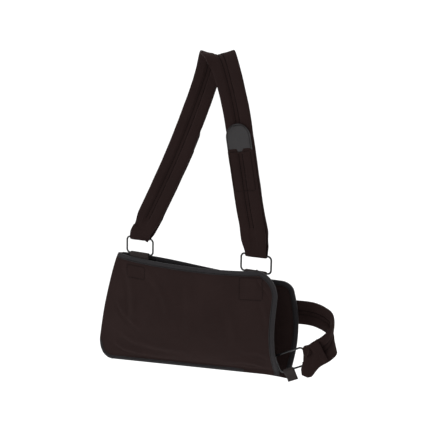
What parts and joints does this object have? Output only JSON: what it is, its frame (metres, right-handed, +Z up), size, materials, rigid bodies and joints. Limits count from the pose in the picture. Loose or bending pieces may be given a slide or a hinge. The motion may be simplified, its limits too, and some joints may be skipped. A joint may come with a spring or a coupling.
{
  "type": "arm sling",
  "caption": "Cloth forearm pouch hung from a padded neck strap by wire rings, with a padded waist strap and hook-and-loop strap ends.",
  "frame": {"origin": "the middle of the neck strap's lower face at its crest, where it rests on the shoulder", "axes": "+X from the elbow end to the hand end, +Y towards the wearer's body, +Z up"},
  "size_m": [0.522, 0.0975, 0.6145],
  "materials": {
    "pouch_cloth": "matt brushed knit laminated to thin foam",
    "strap_cloth": "matt loop-pile knit",
    "binding_tape": "ribbed polyester binding tape",
    "webbing": "flat woven polyester webbing",
    "hook_tape": "grey hook tape with diagonal ribs",
    "foam": "soft open-cell foam strip",
    "ring_wire": "gloss black coated wire"
  },
  "bodies": {
    "neck_strap": {"neck_strap_face": "strap_cloth", "neck_strap_lining": "strap_cloth", "neck_foam_left": "foam", "neck_foam_right": "foam"},
    "front_end": {"front_strap_end": "strap_cloth", "front_end_foam": "foam", "front_hook_tab": "hook_tape"},
    "rear_end": {"rear_strap_end": "strap_cloth", "rear_end_foam": "foam", "rear_hook_tab": "hook_tape"},
    "wrist_ring": {"wrist_ring": "ring_wire"},
    "elbow_ring": {"elbow_ring": "ring_wire"},
    "pouch": {"front_panel": "pouch_cloth", "back_panel": "pouch_cloth", "front_binding": "binding_tape", "back_binding": "binding_tape", "bottom_binding": "binding_tape", "wrist_ring_tab": "webbing", "elbow_ring_tab": "webbing", "waist_ring_tab": "webbing", "waist_strap_face": "strap_cloth", "waist_strap_lining": "strap_cloth", "waist_foam_upper": "foam", "waist_foam_lower": "foam"},
    "waist_ring": {"waist_ring": "ring_wire"},
    "waist_end": {"waist_strap_end": "strap_cloth", "waist_hook_tab": "hook_tape"}
  },
  "joints": [
    {"name": "wrist_ring_swing", "type": "hinge", "parent": "neck_strap", "child": "wrist_ring", "pos_m": [0.0794, 0, -0.35025], "axis": [0.9997, 0, -0.023], "range_deg": [-25, 25]},
    {"name": "elbow_ring_swing", "type": "hinge", "parent": "neck_strap", "child": "elbow_ring", "pos_m": [-0.1796, 0, -0.34425], "axis": [0.9997, 0, -0.023], "range_deg": [-25, 25]},
    {"name": "pouch_swing", "type": "hinge", "parent": "wrist_ring", "child": "pouch", "pos_m": [0.0786, 0, -0.38175], "axis": [0.9997, 0, -0.023], "range_deg": [-20, 20]},
    {"name": "front_end_peel", "type": "hinge", "parent": "neck_strap", "child": "front_end", "pos_m": [0.079, -0.0052, -0.3446], "axis": [1, 0, 0], "range_deg": [0, 100]},
    {"name": "rear_end_peel", "type": "hinge", "parent": "neck_strap", "child": "rear_end", "pos_m": [-0.177, 0.0052, -0.3386], "axis": [-1, 0, 0], "range_deg": [0, 100]},
    {"name": "waist_ring_tip", "type": "hinge", "parent": "pouch", "child": "waist_ring", "pos_m": [0.1617, -0.004, -0.5463], "axis": [0.9063, 0, 0.4226], "range_deg": [-0.6, 0.6]},
    {"name": "waist_end_peel", "type": "hinge", "parent": "pouch", "child": "waist_end", "pos_m": [0.1925, -0.0122, -0.525], "axis": [-0.4226, 0, 0.9063], "range_deg": [-60, 0]}
  ],
  "couplings": [
    {"joint": "elbow_ring_swing", "follows": "wrist_ring_swing", "ratio": 1}
  ]
}
